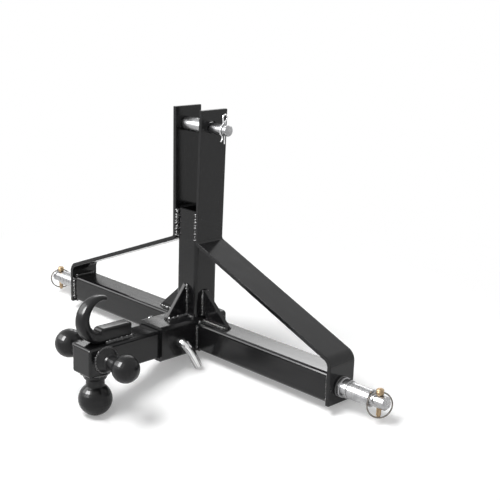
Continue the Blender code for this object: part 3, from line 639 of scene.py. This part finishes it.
def tow_hook(material):
    """The forged crescent, oval in section, that runs on into its square block."""
    low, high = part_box("tow_hook")
    outer_y = low.y + HOOK_OUTER_RADIUS
    outer_z = low.z + HOOK_OUTER_RADIUS
    inner_y = outer_y + HOOK_INNER_SHIFT
    inner_z = outer_z + HOOK_INNER_SHIFT
    full = high.x
    point = HOOK_POINT_WIDTH / 2

    def arm(share, inset=0.0):
        outer_turn = HOOK_POINT + (HOOK_OUTER_END - HOOK_POINT) * share
        inner_turn = HOOK_POINT + (HOOK_INNER_END - HOOK_POINT) * share
        outer = circle_point(outer_y, outer_z, HOOK_OUTER_RADIUS, outer_turn)
        inner = circle_point(inner_y, inner_z, HOOK_INNER_RADIUS, inner_turn)
        half_width = point + (full - point) * sin(min(1.0, share / HOOK_SWELL) * pi / 2)
        ease = max(0.0, (share - HOOK_EASE_START) / HOOK_EASE_SPAN)
        ease = ease * ease * (3 - 2 * ease)
        power = HOOK_ARM_POWER + (HOOK_BLOCK_POWER - HOOK_ARM_POWER) * ease
        growth = HOOK_ARM_GROWTH + (1.0 - HOOK_ARM_GROWTH) * ease
        return oval(outer, inner, half_width, power, growth, inset)

    def block(y, top, inset=0.0):
        outer = Vector((0, y, low.z))
        inner = Vector((0, y, top))
        return oval(outer, inner, full, HOOK_BLOCK_POWER, inset=inset)

    turns = [pi / 2 * step / ROUND_STEPS for step in range(ROUND_STEPS)]
    length = HOOK_OUTER_RADIUS * (HOOK_OUTER_END - HOOK_POINT)
    loops = []
    for turn in turns:
        advance = HOOK_POINT_ROUND * (1 - cos(turn))
        loops.append(arm(advance / length, HOOK_POINT_ROUND * (1 - sin(turn))))
    first = HOOK_POINT_ROUND / length
    loops += [arm(first + (1 - first) * step / HOOK_STEPS) for step in range(HOOK_STEPS + 1)]
    heel = circle_point(inner_y, inner_z, HOOK_INNER_RADIUS, HOOK_INNER_END)
    top = low.z + HOOK_BLOCK_HEIGHT
    for step in range(1, 2 * ROUND_STEPS + 1):
        turn = pi / 4 * step / ROUND_STEPS
        y = heel.y + HOOK_SHOULDER * (1 - cos(turn))
        z = heel.z + (top - heel.z) * sin(turn)
        loops.append(block(y, z))
    loops.append(block(high.y - HOOK_REAR_ROUND, top))
    for turn in reversed(turns):
        advance = HOOK_REAR_ROUND * (1 - cos(turn))
        loops.append(block(high.y - advance, top, HOOK_REAR_ROUND * (1 - sin(turn))))
    piece = skin("tow_hook_forged", loops, material)
    piece.data.set_sharp_from_angle(angle=HOOK_SHARP_ANGLE)
    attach(piece, "frame")
    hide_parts("tow_hook")


def camera():
    """A camera at the photograph's place."""
    back = CAMERA_RIGHT.cross(CAMERA_UP).normalized()
    right = CAMERA_UP.cross(back).normalized()
    up = back.cross(right)
    data = bpy.data.cameras.new("camera")
    data.sensor_width = CAMERA_SENSOR_MM
    data.lens = CAMERA_LENS_MM
    data.clip_start = CAMERA_NEAR
    data.clip_end = CAMERA_FAR
    turn = Matrix((right, up, back)).transposed().to_4x4()
    item = bpy.data.objects.new("camera", data)
    item.matrix_world = Matrix.Translation(CAMERA_PLACE) @ turn
    bpy.context.scene.collection.objects.link(item)
    bpy.context.scene.camera = item


def softbox(name, place, size, power, mirrored):
    """An oval soft lamp, which lights the gloss alone or everything but the gloss."""
    data = bpy.data.lights.new(name, "AREA")
    data.shape = "ELLIPSE"
    data.size, data.size_y = size
    data.energy = power
    item = bpy.data.objects.new(name, data)
    item.location = place
    item.rotation_euler = (LAMP_TARGET - Vector(place)).to_track_quat("-Z", "Y").to_euler()
    item.visible_diffuse = not mirrored
    item.visible_glossy = mirrored
    bpy.context.scene.collection.objects.link(item)


def shown_rays(tree):
    """1 for the rays that see the white background: the camera's, mirrored and clear ones."""
    rays = tree.add("ShaderNodeLightPath")
    total = rays.outputs["Is Camera Ray"]
    for kind in ("Is Glossy Ray", "Is Transmission Ray"):
        total = tree.combine("MAXIMUM", total, rays.outputs[kind])
    return total


def height_level(tree):
    """The room's brightness by height: pale low down, dim overhead."""
    place = tree.add("ShaderNodeTexCoord")
    parts = tree.add("ShaderNodeSeparateXYZ")
    tree.link(place.outputs["Generated"], parts.inputs["Vector"])
    height = parts.outputs["Z"]
    return tree.span(
        height, ROOM_LOW, ROOM_HIGH, ROOM_DIM_START, ROOM_DIM_END, interpolation_type="SMOOTHSTEP"
    )


def room():
    """A room of soft light, shown as plain white."""
    world = bpy.data.worlds.new("studio")
    bpy.context.scene.world = world
    world.use_nodes = True
    world.node_tree.nodes.clear()
    tree = Tree(world.node_tree)
    soft = tree.add("ShaderNodeBackground")
    soft.inputs["Color"].default_value = WHITE
    tree.link(height_level(tree), soft.inputs["Strength"])
    seen = tree.add("ShaderNodeBackground")
    seen.inputs["Color"].default_value = WHITE
    seen.inputs["Strength"].default_value = 1.0
    tree.show("ShaderNodeOutputWorld", shown_rays(tree), soft, seen)


def studio_light():
    """A frontal key, a window to its left, a strip behind on the left, a lamp overhead, the room."""
    for lamp in MIRRORED_LAMPS:
        softbox(*lamp, mirrored=True)
    softbox(*OVERHEAD_LAMP, mirrored=False)
    room()


def floor_finish():
    """Matt and pale with its shadows near the object, and plain white further out."""
    material = bpy.data.materials.new("floor")
    material.use_nodes = True
    material.node_tree.nodes.clear()
    tree = Tree(material.node_tree)
    shown = shown_rays(tree)
    diffuse = tree.add("ShaderNodeBsdfDiffuse")
    diffuse.inputs["Color"].default_value = FLOOR_COLOR
    lift = tree.add("ShaderNodeMath", operation="MULTIPLY")
    lift.inputs[1].default_value = FLOOR_LIFT
    tree.link(shown, lift.inputs[0])
    lifted = tree.add("ShaderNodeEmission")
    tree.link(lift.outputs["Value"], lifted.inputs["Strength"])
    near = tree.add("ShaderNodeAddShader")
    tree.link(diffuse.outputs[0], near.inputs[0])
    tree.link(lifted.outputs[0], near.inputs[1])
    white = tree.add("ShaderNodeEmission")
    white.inputs["Strength"].default_value = 1.0
    place = tree.add("ShaderNodeNewGeometry")
    distance = tree.add("ShaderNodeVectorMath", operation="LENGTH")
    tree.link(place.outputs["Position"], distance.inputs[0])
    length = distance.outputs["Value"]
    far = tree.span(length, 0.0, 1.0, WHITE_START, WHITE_END, interpolation_type="SMOOTHSTEP")
    tree.show("ShaderNodeOutputMaterial", tree.combine("MULTIPLY", shown, far), near, white)
    return material


def floor():
    """A pale floor that dips under the ball mount, just under the end plates and the ball."""
    plate_low, plate_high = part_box("side_strap_right")
    ball_low, ball_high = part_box("ball_bottom")
    high = plate_low.z - FLOOR_GAP
    low = ball_low.z - FLOOR_GAP
    rear = plate_high.y
    front = (ball_low.y + ball_high.y) / 2
    profile = [(FLOOR_REACH, high), (rear, high), (front, low), (-FLOOR_REACH, low)]
    verts = []
    for y, z in profile:
        verts += [(-FLOOR_REACH, y, z), (FLOOR_REACH, y, z)]
    faces = [(2 * i, 2 * i + 1, 2 * i + 3, 2 * i + 2) for i in range(len(profile) - 1)]
    mesh = bpy.data.meshes.new("floor")
    mesh.from_pydata(verts, [], faces)
    mesh.materials.append(floor_finish())
    item = bpy.data.objects.new("floor", mesh)
    bpy.context.scene.collection.objects.link(item)


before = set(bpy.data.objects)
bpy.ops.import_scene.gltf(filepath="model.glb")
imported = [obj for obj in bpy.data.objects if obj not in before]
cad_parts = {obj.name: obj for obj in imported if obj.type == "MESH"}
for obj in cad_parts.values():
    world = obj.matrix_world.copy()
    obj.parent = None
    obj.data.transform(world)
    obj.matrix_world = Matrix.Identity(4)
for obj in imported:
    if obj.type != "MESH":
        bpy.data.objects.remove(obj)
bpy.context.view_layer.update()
WELD_PAINT = weld_paint()
dress(BLACK_NODES, black_paint())
BALL_COAT = ball_coat()
dress(BALL_NODES, BALL_COAT)
tow_hook(BALL_COAT)
dress(LOWER_ZINC_NODES, turned_zinc("bright_zinc_lower", *LOWER_PIN_AXIS))
dress(TOP_ZINC_NODES, turned_zinc("bright_zinc_top", *TOP_PIN_AXIS))
dress(["hitch_pin"], zinc_with_painted_reflections())
dress(CLIP_NODES, clip_zinc())
dress(YELLOW_NODES, yellow_zinc())
dress(RING_NODES, ring_steel())
frame_welds()
ball_welds()
hook_welds()
pin_welds()
camera()
studio_light()
floor()
bpy.context.scene.view_settings.view_transform = "Standard"
